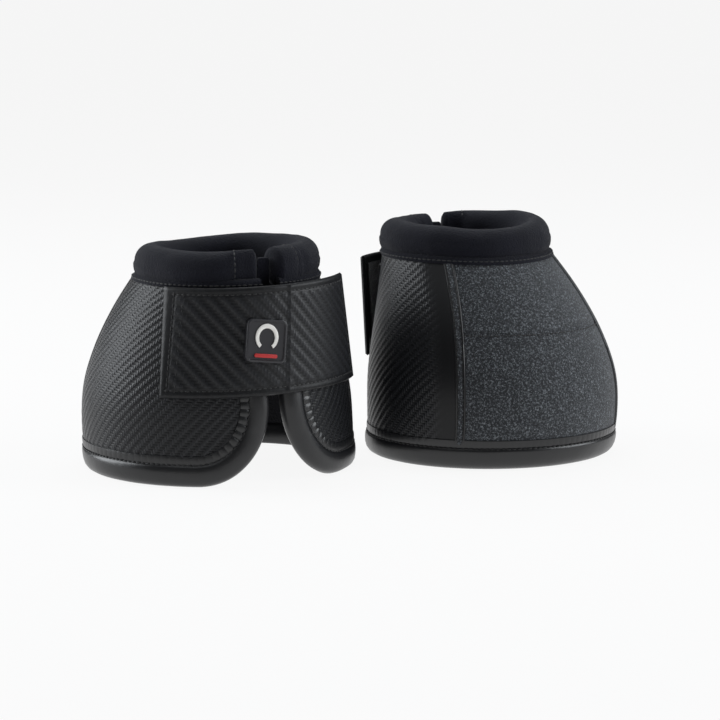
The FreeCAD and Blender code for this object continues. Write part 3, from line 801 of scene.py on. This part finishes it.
class BOOTS_OT_collars(bpy.types.Operator):
    """Build the padded collar rolls with their sewn ends, and the band each roll is sewn to"""
    bl_idname = "boots.collars"
    bl_label = "Collars"

    def execute(self, context):
        sizes = context.scene.boots_collar
        for boot in boots():
            gap = boot.gap
            for body, prefix, first, last in (("shell", "", gap, SEAM_LAST),
                                              ("wing", "wing_", SEAM_LAST, 360.0 - gap)):
                roll = self.roll(boot, sizes, prefix, first, last, gap)
                nodes = [prefix + end for end in ("collar_cover", "collar_end_cap", "collar_foam")]
                settle(roll, boot, body, nodes)
                band = self.band(boot, prefix, first, last)
                settle(band, boot, body, (prefix + "collar_band",))
        return {"FINISHED"}

    def roll(self, boot, sizes, prefix, first, last, gap):
        steps = int(math.radians(last - first) * boot.ring / sizes.spacing)
        rings = []
        for i in range(steps + 1):
            azimuth = first + (last - first) * i / steps
            away = math.radians(min(abs(azimuth - gap), abs(360.0 - gap - azimuth))) * boot.ring
            full = sizes.flatten + (1.0 - sizes.flatten) * smooth(0.006, END_CAP + 0.006, away)
            tab = 0.0 if prefix else 1.0 - smooth(END_CAP * 0.9, END_CAP * 1.1, away)
            full += (0.95 - full) * tab
            shut = math.sqrt(max(1.0 - (1.0 - min(away / 0.0022, 1.0)) ** 2, 0.0)) * 0.5 + 0.5
            crease = 1.0 - 0.10 * math.exp(-((away - END_CAP * 0.8) / 0.0012) ** 2)
            ring = []
            for k in range(36):
                t = 2 * math.pi * k / 36
                square, fat = (3.2, 1.07) if math.cos(t) > 0 and math.sin(t) < 0 else (2.0, 1.0)
                reach = (abs(math.cos(t)) ** square + abs(math.sin(t)) ** square) ** (-1.0 / square)
                out = ROLL * math.cos(t) * reach * fat * full * shut * crease
                up = ROLL * math.sin(t) * reach * fat * (0.5 + 0.5 * shut)
                if up < 0.0:
                    up *= 1.0 + 0.24 * tab
                place = boot.roll_point(azimuth, out, up)
                uneven = sizes.swell * noise.noise(place * 42.0 + Vector((0, 0, 7.3)))
                uneven += 0.3 * sizes.swell * noise.noise(place * 130.0)
                grow = 1.0 + uneven / ROLL
                ring.append(boot.roll_point(azimuth, out * grow, up * grow))
            rings.append(ring)
        return tube_object("%s_%scollar_roll" % (boot.name, prefix), rings, (finish("collar_neoprene"),),
                           sharp=75.0)

    def band(self, boot, prefix, first, last):
        top = boot.height
        outline = ((-BAND - 0.001, -0.001), (-BAND - 0.0007, 0.0007), (-BAND, 0.0012), (-BAND / 2, 0.0014),
                   (-0.0004, 0.0011), (0.0010, 0.0002), (0.0014, -0.003), (-BAND, -0.003))
        steps = int(math.radians(last - first) * COLLAR_RADIUS / 0.002)
        rings = []
        for i in range(steps + 1):
            azimuth = first + (last - first) * i / steps
            drop = boot.sag(azimuth, BAND_SAG)
            rings.append([boot.point(azimuth, top + up - drop, lift) for up, lift in outline])
        return tube_object("%s_%scollar_hem" % (boot.name, prefix), rings, (finish("collar_neoprene"),))


class BOOTS_OT_tongues(bpy.types.Operator):
    """Build the neoprene tongue behind each closure"""
    bl_idname = "boots.tongues"
    bl_label = "Tongues"

    def execute(self, context):
        for boot in boots():
            outer, inner = [], []
            low, high = CORNER_HEIGHT + BINDING, boot.height + TONGUE_RISE
            for z in spaced(low, high, 60):
                rise = smooth(boot.height - 0.010, boot.height - 0.002, z)
                left = -TONGUE_LAP + 0.0046 * rise
                right = TONGUE_SEWN - 0.0094 * rise
                back = -WALL - 0.0012 - 0.0006 * (1 - rise)
                round_off = 0.0012 * smooth(high - 0.002, high, z)
                line = [[], []]
                for x in spaced(left + round_off, right - round_off, 22):
                    azimuth = boot.azimuth_at(x + boot.lean[0] * min(z / boot.height, 1.0), z)
                    bulge = 0.0006 * math.cos((x - left) / (right - left) * math.pi - math.pi / 2)
                    line[0].append(boot.point(azimuth, z, back + bulge * 0.5))
                    line[1].append(boot.point(azimuth, z, back - 0.0026 - bulge))
                outer.append(line[0])
                inner.append(line[1])
            cloth = finish("collar_neoprene")
            piece = slab_object(boot.name + "_closure_tongue", outer, inner, (cloth, cloth, cloth))
            settle(piece, boot, "shell", ("tongue",))
        return {"FINISHED"}


class BOOTS_OT_pads(bpy.types.Operator):
    """Build the anti-turn pad inside each heel"""
    bl_idname = "boots.pads"
    bl_label = "Anti-turn pads"

    def execute(self, context):
        for boot in boots():
            outer, inner = [], []
            middle, half = (SEAM_FIRST + SEAM_LAST) / 2, PAD_HALF
            top = boot.height - PAD_TOP
            for z in spaced(top - PAD_HEIGHT, top, 26):
                v = (z - top + PAD_HEIGHT) / PAD_HEIGHT
                line = [[], []]
                for azimuth in spaced(middle - half, middle + half, 32):
                    u = (azimuth - middle + half) / (2 * half)
                    crown = (16 * u * (1 - u) * v * (1 - v)) ** 0.32 if 0 < u < 1 and 0 < v < 1 else 0.0
                    line[0].append(boot.point(azimuth, z, -WALL + 0.0004))
                    line[1].append(boot.point(azimuth, z, -WALL - 0.0004 - PAD_DEPTH * crown))
                outer.append(line[0])
                inner.append(line[1])
            cloth = finish("lining_knit")
            piece = slab_object(boot.name + "_heel_pad", outer, inner, (cloth, cloth, cloth), sharp=80.0)
            settle(piece, boot, "shell", ("anti_turn_pad",))
        return {"FINISHED"}


class BOOTS_OT_straps(bpy.types.Operator):
    """Build the straps with their turned edges, and the hook tape and loop patch that hold them"""
    bl_idname = "boots.straps"
    bl_label = "Straps"

    def execute(self, context):
        sizes = context.scene.boots_strap
        for boot in boots():
            strap = self.strap(boot, sizes)
            settle(strap, boot, "strap bend", ("strap_face", "strap_anchor"))
            tape = self.tape(boot, sizes)
            settle(tape, boot, "strap", ("strap_hook_tape",))
            patch = self.patch(boot)
            settle(patch, boot, "shell", ("loop_patch",))
        return {"FINISHED"}

    def strap(self, boot, sizes):
        """Strap with a raised, turned edge, a woven face and a smooth back."""
        columns, rows = 150, 62
        length = boot.strap_length()
        outer, inner, uvs, relief = [], [], [], []
        for r in range(rows + 1):
            v = r / rows
            line = [[], [], [], []]
            for c in range(columns + 1):
                u = c / columns
                along, across = u * length, v * STRAP_WIDTH
                inside = min(along, length - along, across, STRAP_WIDTH - across)
                turn_in = 1.0 - math.sqrt(max(1.0 - (1.0 - min(inside / 0.0011, 1.0)) ** 2, 0.0))
                furrow = math.exp(-((inside - STRAP_SEAM) / 0.0008) ** 2) * 0.0004
                woven = smooth(0.0046, 0.0062, inside)
                wave = 0.5 + 0.5 * math.sin(((along + across) / sizes.tow - 0.5) * math.pi / 2)
                rise = 0.0005 * wave * woven
                crease = 0.0006 * math.exp(-((u - BADGE_AT - 0.12) / 0.012) ** 2)
                depth = sizes.thickness * (1 - 0.5 * turn_in) - furrow + rise + crease
                line[0].append(boot.strap(u, depth, v))
                line[1].append(boot.strap(u, sizes.thickness * 0.5 * turn_in, v))
                line[2].append((along, across))
                line[3].append(0.25 + 0.75 * woven)
            for grid, part in zip((outer, inner, uvs, relief), line):
                grid.append(part)
        back = finish("binding_skin")
        return slab_object(boot.name + "_closing_strap", outer, inner,
                           (finish("woven_strap_skin"), back, back), uvs, relief, sharp=60.0)

    def tape(self, boot, sizes):
        outer, inner = ([[boot.strap(u, depth, v) for u in spaced(*TAPE_ALONG, 50)]
                         for v in spaced(*TAPE_ACROSS, 40)] for depth in (0.0002, -0.0007))
        pile = finish("hook_tape_pile")
        piece = slab_object(boot.name + "_hook_tape", outer, inner, (pile, pile, pile))
        return piece

    def patch(self, boot):
        high = boot.height - STRAP_TOP_GAP
        middle = high - STRAP_WIDTH / 2
        outer, inner = [], []
        for z in spaced(middle - PATCH_HALF, middle + PATCH_HALF, 40):
            row = [boot.azimuth_at(x + boot.lean[0] * 0.7, z) for x in spaced(*PATCH_ALONG, 40)]
            outer.append([boot.point(azimuth, z, 0.0011) for azimuth in row])
            inner.append([boot.point(azimuth, z, -0.0004) for azimuth in row])
        pile = finish("loop_patch_pile")
        piece = slab_object(boot.name + "_loop_patch_pile", outer, inner, (pile, pile, pile))
        return piece


def raised(flat):
    """Outline of a raised line: shares of its half width and of the badge's height."""
    return (-1.0, 0.6), (-1.0, 0.93), (-flat, 1.0), (flat, 1.0), (1.0, 0.93), (1.0, 0.6)


class BOOTS_OT_badges(bpy.types.Operator):
    """Build the moulded badge on each strap, with a horseshoe over a bar"""
    bl_idname = "boots.badges"
    bl_label = "Badges"

    def execute(self, context):
        sizes = context.scene.boots_strap
        for boot in boots():
            low, high = boot.strap(BADGE_AT, 0.0024, 0.0), boot.strap(BADGE_AT, 0.0024, 1.0)
            middle = (low + high) / 2
            up = (high - low).normalized()
            ahead = boot.strap(BADGE_AT + 0.02, 0.0024, 0.5) - middle
            out = ahead.cross(up).normalized()
            side = up.cross(out)
            place = Matrix((side, up, out)).transposed().to_4x4()
            place.translation = middle
            badge = self.badge(boot, sizes, place)
            settle(badge, boot, "strap", ("badge",))
            shoe = self.horseshoe(boot, sizes, place)
            settle(shoe, boot, "strap", ("badge_emblem",))
            bar = self.bar(boot, sizes, place)
            settle(bar, boot, "strap", ())
        return {"FINISHED"}

    def outline(self, half, corner, steps=6):
        """Rounded square, anticlockwise."""
        spots = []
        for k in range(4):
            x = (half - corner) * (1 if k in (0, 3) else -1)
            y = (half - corner) * (1 if k < 2 else -1)
            for i in range(steps + 1):
                t = math.pi / 2 * (k + i / steps)
                spots.append((x + corner * math.cos(t), y + corner * math.sin(t)))
        return spots

    def badge(self, boot, sizes, place):
        half, rise = sizes.badge / 2, sizes.badge_rise
        levels = ((half, -0.0022), (half, rise * 0.75), (half - 0.0002, rise * 0.93), (half - 0.0006, rise),
                  (half - 0.0012, rise), (half - 0.0015, rise * 0.9), (half - 0.0017, rise * 0.72),
                  (half - 0.0025, rise * 0.70))
        rings = [[place @ Vector((x, y, z)) for x, y in self.outline(width, max(0.0035 - (half - width), 0.0005))]
                 for width, z in levels]
        return tube_object(boot.name + "_moulded_badge", rings, (finish("badge_rubber"),), sharp=35.0)

    def horseshoe(self, boot, sizes, place):
        rise = sizes.badge_rise
        rings = []
        for i in range(41):
            t = math.radians(-52.0 + 284.0 * i / 40)
            wide = 0.0013 * (1.0 - 0.25 * abs(i - 20) / 20)
            middle = Vector((0.0060 * math.cos(t), 0.0021 + 0.0066 * math.sin(t), 0))
            radial = Vector((math.cos(t), math.sin(t), 0))
            ring = []
            for out, up in raised(0.8):
                ring.append(place @ (middle + radial * out * wide + Vector((0, 0, rise * up + 0.0001))))
            rings.append(ring)
        return tube_object(boot.name + "_horseshoe", rings, (finish("emblem_rubber_pale"),), sharp=35.0)

    def bar(self, boot, sizes, place):
        rise = sizes.badge_rise
        rings = []
        for x, size in ((-0.0071, 0.3), (-0.0069, 0.7), (-0.0063, 1.0),
                        (0.0063, 1.0), (0.0069, 0.7), (0.0071, 0.3)):
            ring = []
            for out, up in raised(0.75):
                ring.append(place @ Vector((x, -0.0085 + 0.0011 * out * size, rise * up + 0.0001)))
            rings.append(ring)
        return tube_object(boot.name + "_emblem_bar", rings, (finish("emblem_rubber_red"),), sharp=35.0)


# --- sewing ---------------------------------------------------------------------------------------
def stitch_tree(material):
    """Geometry nodes that lay a thread stitch at every pitch along the rows given as edges."""
    tree = bpy.data.node_groups.new("sewn_rows", "GeometryNodeTree")
    sockets = tree.interface
    sockets.new_socket("Rows", in_out="INPUT", socket_type="NodeSocketGeometry")
    for name in ("Pitch", "Length", "Thread"):
        sockets.new_socket(name, in_out="INPUT", socket_type="NodeSocketFloat")
    sockets.new_socket("Seed", in_out="INPUT", socket_type="NodeSocketInt")
    sockets.new_socket("Stitches", in_out="OUTPUT", socket_type="NodeSocketGeometry")
    nodes, links = tree.nodes, tree.links
    given = nodes.new("NodeGroupInput")
    rows = nodes.new("GeometryNodeMeshToCurve")
    spread = nodes.new("GeometryNodeResampleCurve")
    spread.mode = "LENGTH"
    bead = nodes.new("GeometryNodeMeshUVSphere")
    bead.inputs["Segments"].default_value = 7
    bead.inputs["Rings"].default_value = 6
    bead.inputs["Radius"].default_value = 1.0
    half = nodes.new("ShaderNodeMath")
    half.operation = "MULTIPLY"
    half.inputs[1].default_value = 0.5
    size = nodes.new("ShaderNodeCombineXYZ")
    shape = nodes.new("GeometryNodeTransform")
    soft = nodes.new("GeometryNodeSetShadeSmooth")
    tangent = nodes.new("GeometryNodeInputTangent")
    turn = nodes.new("FunctionNodeAlignRotationToVector")
    turn.axis = "Z"
    vary = nodes.new("FunctionNodeRandomValue")
    vary.data_type = "FLOAT"
    vary.inputs[2].default_value = 0.85
    vary.inputs[3].default_value = 1.1
    lay = nodes.new("GeometryNodeInstanceOnPoints")
    real = nodes.new("GeometryNodeRealizeInstances")
    paint = nodes.new("GeometryNodeSetMaterial")
    paint.inputs["Material"].default_value = material
    result = nodes.new("NodeGroupOutput")
    for source, out, target, into in (
            (given, "Rows", rows, "Mesh"), (rows, "Curve", spread, "Curve"), (given, "Pitch", spread, "Length"),
            (given, "Length", half, 0), (given, "Thread", size, 0), (given, "Thread", size, 1),
            (half, 0, size, 2), (bead, "Mesh", shape, "Geometry"), (size, 0, shape, "Scale"),
            (shape, "Geometry", soft, "Geometry"), (tangent, "Tangent", turn, "Vector"),
            (given, "Seed", vary, "Seed"), (spread, "Curve", lay, "Points"), (soft, "Geometry", lay, "Instance"),
            (turn, "Rotation", lay, "Rotation"), (vary, 1, lay, "Scale"), (lay, "Instances", real, "Geometry"),
            (real, "Geometry", paint, "Geometry"), (paint, "Geometry", result, "Stitches")):
        links.new(source.outputs[out], target.inputs[into])
    return tree


class BOOTS_OT_stitches(bpy.types.Operator):
    """Sew the rows of stitches on the strap, the strip, the welts, the heel and the collar"""
    bl_idname = "boots.stitches"
    bl_label = "Stitches"

    def execute(self, context):
        sizes = context.scene.boots_stitch
        bell, strap = context.scene.boots_bell, context.scene.boots_strap
        tree = stitch_tree(finish("sewing_thread"))
        for boot in boots():
            shell = self.shell_rows(boot, bell, sizes)
            self.sew(boot, "shell", "shell", shell, tree, sizes)
            self.sew(boot, "wing", "wing", self.wing_rows(boot, sizes), tree, sizes)
            self.sew(boot, "strap", "strap bend", self.strap_rows(boot, strap, sizes), tree, sizes)
        return {"FINISHED"}

    def shell_rows(self, boot, bell, sizes):
        lift = sizes.thread * 0.3
        rows = []
        low, high = BINDING + STRIP, boot.height - BAND - 0.001
        for seam, way in ((SEAM_FIRST, 1.0), (SEAM_LAST, -1.0)):
            for share in WELT_ROWS:
                rows.append([boot.point(seam + way * math.degrees(bell.welt * share / boot.section(z)[2]), z,
                                        0.0005 + lift) for z in spaced(low, high, 60)])
        level = boot.height * HEEL_ROW
        inner = math.degrees(bell.welt / boot.section(level)[2])
        rows.append([boot.point(a, level, lift) for a in spaced(SEAM_FIRST + inner, SEAM_LAST - inner, 80)])
        gap = boot.gap
        rows.append(self.band_row(boot, gap, SEAM_LAST, lift))
        rows.append(self.hem_row(boot, 1, lift))
        rows.append(self.cap_row(boot, gap, 1.0, lift))
        return rows

    def wing_rows(self, boot, sizes):
        lift = sizes.thread * 0.3
        gap = boot.gap
        return [self.band_row(boot, SEAM_LAST, 360.0 - gap, lift), self.hem_row(boot, -1, lift),
                self.cap_row(boot, 360.0 - gap, -1.0, lift)]

    def band_row(self, boot, first, last, lift):
        row = []
        for azimuth in spaced(first + 0.5, last - 0.5, 160):
            drop = boot.sag(azimuth, BAND_SAG)
            row.append(boot.point(azimuth, boot.height - BAND * 0.6 - drop, 0.0014 + lift))
        return row

    def hem_row(self, boot, side, lift):
        """Row just above the hem binding, from the corner round to the heel seam."""
        line = boot.edge(side, BINDING + 0.0004, 0.002)
        return [boot.point(azimuth, z, 0.0009 + lift) for azimuth, z in line]

    def cap_row(self, boot, end, way, lift):
        azimuth = end + way * math.degrees(END_CAP * 0.8 / boot.ring)
        reach = ROLL * 0.86
        return [boot.roll_point(azimuth, (reach + lift) * math.cos(t), (ROLL + lift) * math.sin(t))
                for t in spaced(-1.2, 2.2, 30)]

    def strap_rows(self, boot, strap, sizes):
        length = boot.strap_length()
        u, v = STRAP_SEAM / length, STRAP_SEAM / STRAP_WIDTH
        depth = strap.thickness - 0.0002
        rows = [[boot.strap(s, depth, v) for s in spaced(u, 1 - u, 90)],
                [boot.strap(s, depth, 1 - v) for s in spaced(u, 1 - u, 90)],
                [boot.strap(u, depth, t) for t in spaced(v, 1 - v, 40)],
                [boot.strap(1 - u, depth, t) for t in spaced(v, 1 - v, 40)],
                [boot.strap(u * 2.1, depth + 0.0002, t) for t in spaced(v, 1 - v, 40)]]
        return rows

    def sew(self, boot, label, side, rows, tree, sizes):
        points, edges = [], []
        for row in rows:
            first = len(points)
            points += [tuple(p) for p in row]
            edges += [(first + i, first + i + 1) for i in range(len(row) - 1)]
        mesh = bpy.data.meshes.new("rows")
        mesh.from_pydata(points, edges, [])
        thing = bpy.data.objects.new("%s_%s_stitches" % (boot.name, label), mesh)
        bpy.context.collection.objects.link(thing)
        modifier = thing.modifiers.new("Sewing", "NODES")
        modifier.node_group = tree
        values = {"Pitch": sizes.pitch, "Length": sizes.length, "Thread": sizes.thread, "Seed": sizes.seed}
        for item in tree.interface.items_tree:
            if item.item_type == "SOCKET" and item.in_out == "INPUT" and item.name in values:
                modifier[item.identifier] = values[item.name]
        ready = thing.evaluated_get(bpy.context.evaluated_depsgraph_get())
        made = bpy.data.meshes.new_from_object(ready)
        thing.modifiers.remove(modifier)
        thing.data = made
        settle(thing, boot, side, ())


class BOOTS_OT_stage(bpy.types.Operator):
    """Lay the floor and set the lights and the camera"""
    bl_idname = "boots.stage"
    bl_label = "Stage"

    def execute(self, context):
        paper = Paint("stage_paper", (0.06, 0.06, 0.06), 0.95, specular=0.0)
        paper.surface.inputs["Emission Color"].default_value = (1.0, 1.0, 1.0, 1.0)
        paper.surface.inputs["Emission Strength"].default_value = 0.91
        half = FLOOR_HALF
        floor = new_object("floor", [(-half, -half, 0), (half, -half, 0), (half, half, 0), (-half, half, 0)],
                           [(0, 1, 2, 3)], (paper.material,))
        world = bpy.data.worlds.new("studio")
        world.use_nodes = True
        world.node_tree.nodes["Background"].inputs["Color"].default_value = (1.0, 1.0, 1.0, 1.0)
        world.node_tree.nodes["Background"].inputs["Strength"].default_value = 0.10
        context.scene.world = world
        context.scene.view_settings.view_transform = "Standard"
        for name, place, size, power in LIGHTS:
            self.light(context, name, place, size, power)
        lens = bpy.data.cameras.new("view")
        eye = bpy.data.objects.new("view", lens)
        context.collection.objects.link(eye)
        here, target = Vector(EYE), Vector(TARGET)
        eye.location = here
        eye.rotation_euler = (target - here).to_track_quat("-Z", "Y").to_euler()
        lens.lens = 36.0 * (target - here).length / VIEW_WIDTH
        lens.clip_start, lens.clip_end = 0.05, 20.0
        context.scene.camera = eye
        return {"FINISHED"}

    def light(self, context, name, place, size, power):
        lamp = bpy.data.lights.new(name, "AREA")
        lamp.shape = "SQUARE"
        lamp.size = size
        lamp.energy = power
        lamp.color = (0.93, 0.965, 1.0)
        thing = bpy.data.objects.new(name, lamp)
        context.collection.objects.link(thing)
        thing.location = place
        thing.rotation_euler = (Vector(LIGHT_TARGET) - Vector(place)).to_track_quat("-Z", "Y").to_euler()


class BOOTS_PT_panel(bpy.types.Panel):
    """Lists the boots' pieces and sizes"""
    bl_idname = "BOOTS_PT_panel"
    bl_label = "Over-reach boots"
    bl_space_type = "VIEW_3D"
    bl_region_type = "UI"
    bl_category = "Boots"

    def draw(self, context):
        for step in STEPS:
            self.layout.operator(step.bl_idname)
        for group in GROUPS:
            box = self.layout.box()
            box.label(text=group.__doc__)
            for name in group.__annotations__:
                box.prop(getattr(context.scene, GROUPS[group]), name)


GROUPS = {
    BellSizes: "boots_bell",
    CollarSizes: "boots_collar",
    StrapSizes: "boots_strap",
    StitchSizes: "boots_stitch",
    Finishes: "boots_finishes",
}
STEPS = (BOOTS_OT_finishes, BOOTS_OT_side_walls, BOOTS_OT_heel_walls, BOOTS_OT_bindings, BOOTS_OT_collars,
         BOOTS_OT_tongues, BOOTS_OT_pads, BOOTS_OT_straps, BOOTS_OT_badges, BOOTS_OT_stitches, BOOTS_OT_stage)


def register():
    for item in (*GROUPS, *STEPS, BOOTS_PT_panel):
        bpy.utils.register_class(item)
    for group, name in GROUPS.items():
        setattr(bpy.types.Scene, name, PointerProperty(type=group))


def unregister():
    for name in GROUPS.values():
        delattr(bpy.types.Scene, name)
    for item in reversed((*GROUPS, *STEPS, BOOTS_PT_panel)):
        bpy.utils.unregister_class(item)


def main():
    register()
    bpy.ops.boots.finishes()
    bpy.ops.boots.side_walls()
    bpy.ops.boots.heel_walls()
    bpy.ops.boots.bindings()
    bpy.ops.boots.collars()
    bpy.ops.boots.tongues()
    bpy.ops.boots.pads()
    bpy.ops.boots.straps()
    bpy.ops.boots.badges()
    bpy.ops.boots.stitches()
    bpy.ops.boots.stage()


if __name__ == "__main__":
    main()
